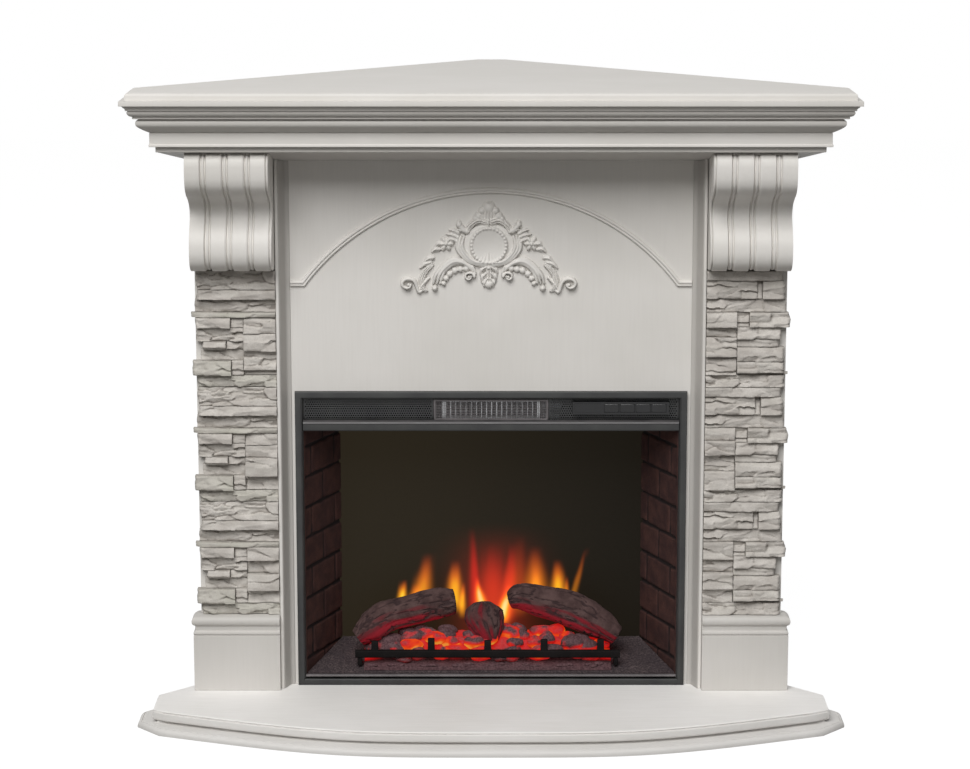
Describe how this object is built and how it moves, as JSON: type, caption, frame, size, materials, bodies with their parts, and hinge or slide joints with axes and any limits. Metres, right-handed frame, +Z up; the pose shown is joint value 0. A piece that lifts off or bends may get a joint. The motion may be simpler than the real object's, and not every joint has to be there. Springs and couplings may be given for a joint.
{
  "type": "corner electric fireplace",
  "caption": "Corner fireplace suite: moulded surround with stone-clad columns, bowed hearth and a built-in electric firebox with logs, push keys, fan heater and flame spindle.",
  "frame": {"origin": "the middle of the part's plan, on the floor", "axes": "+X to the right as seen from the front, +Y back into the room corner, +Z up; the front faces -Y"},
  "size_m": [1.234, 0.8016, 1.11],
  "materials": {
    "painted_board": "off-white satin paint on fibreboard",
    "bare_board": "bare fibreboard",
    "stone": "split-face, pale grey",
    "black_steel": "satin black powder coat",
    "dark_gloss": "gloss black",
    "flame_screen": "smoked diffuser",
    "brick": "moulded brick relief, dark red-brown",
    "ash": "textured ash grey",
    "charred_log": "moulded bark, charred",
    "embers": "translucent coals, lit from below",
    "bare_aluminium": "plain",
    "motor_steel": "plain",
    "circuit": "circuit board",
    "black_plastic": "black moulding"
  },
  "bodies": {
    "fireplace": {"hearth_slab": "painted_board", "hearth_skirt": "painted_board", "hearth_base": "bare_board", "shelf_top": "painted_board", "shelf_apron": "painted_board", "crown_moulding": "painted_board", "frieze_board": "painted_board", "bed_moulding": "painted_board", "front_panel": "painted_board", "side_panel_right": "bare_board", "side_panel_left": "bare_board", "back_post": "bare_board", "column_core_right": "painted_board", "column_core_left": "painted_board", "stone_left_upper": "stone", "stone_left_middle": "stone", "stone_left_lower": "stone", "stone_right_upper": "stone", "stone_right_middle": "stone", "stone_right_lower": "stone", "plinth_block_right": "painted_board", "plinth_block_left": "painted_board", "plinth_cap_right": "painted_board", "plinth_cap_left": "painted_board", "edge_strip_right": "painted_board", "edge_strip_left": "painted_board", "corbel_right": "painted_board", "corbel_left": "painted_board", "arch_moulding": "painted_board", "ornament": "painted_board", "firebox_case": "black_steel", "trim_frame": "black_steel", "cross_bar": "black_steel", "grille": "black_steel", "heater_guard": "black_steel", "control_panel": "dark_gloss", "display_window": "dark_gloss", "control_board": "circuit", "blower_housing": "black_steel", "blower_motor": "motor_steel", "heating_element": "bare_aluminium", "brick_side_right": "brick", "brick_side_left": "brick", "flame_screen": "flame_screen", "ash_floor": "ash", "log_left": "charred_log", "log_right": "charred_log", "log_centre": "charred_log", "ember_bed": "embers", "grate": "black_plastic", "flame_led_board": "circuit", "ember_led_board": "circuit", "spindle_motor": "motor_steel", "power_inlet": "black_plastic"},
    "power_key": {"key_power": "dark_gloss"},
    "flame_key": {"key_flame": "dark_gloss"},
    "heater_key": {"key_heater": "dark_gloss"},
    "timer_key": {"key_timer": "dark_gloss"},
    "heater_fan": {"blower_wheel": "bare_aluminium"},
    "spindle": {"flame_spindle": "bare_aluminium"}
  },
  "joints": [
    {"name": "power_key_press", "type": "slide", "parent": "fireplace", "child": "power_key", "axis": [0, 1, 0], "range_m": [0, 0.0012], "stiffness_N_per_m": 800},
    {"name": "flame_key_press", "type": "slide", "parent": "fireplace", "child": "flame_key", "axis": [0, 1, 0], "range_m": [0, 0.0012], "stiffness_N_per_m": 800},
    {"name": "heater_key_press", "type": "slide", "parent": "fireplace", "child": "heater_key", "axis": [0, 1, 0], "range_m": [0, 0.0012], "stiffness_N_per_m": 800},
    {"name": "timer_key_press", "type": "slide", "parent": "fireplace", "child": "timer_key", "axis": [0, 1, 0], "range_m": [0, 0.0012], "stiffness_N_per_m": 800},
    {"name": "heater_fan_spin", "type": "hinge", "parent": "fireplace", "child": "heater_fan", "pos_m": [0, -0.0148, 0.529], "axis": [1, 0, 0], "continuous": true},
    {"name": "flame_spindle_spin", "type": "hinge", "parent": "fireplace", "child": "spindle", "pos_m": [0, 0.0882, 0.118], "axis": [1, 0, 0], "continuous": true}
  ]
}
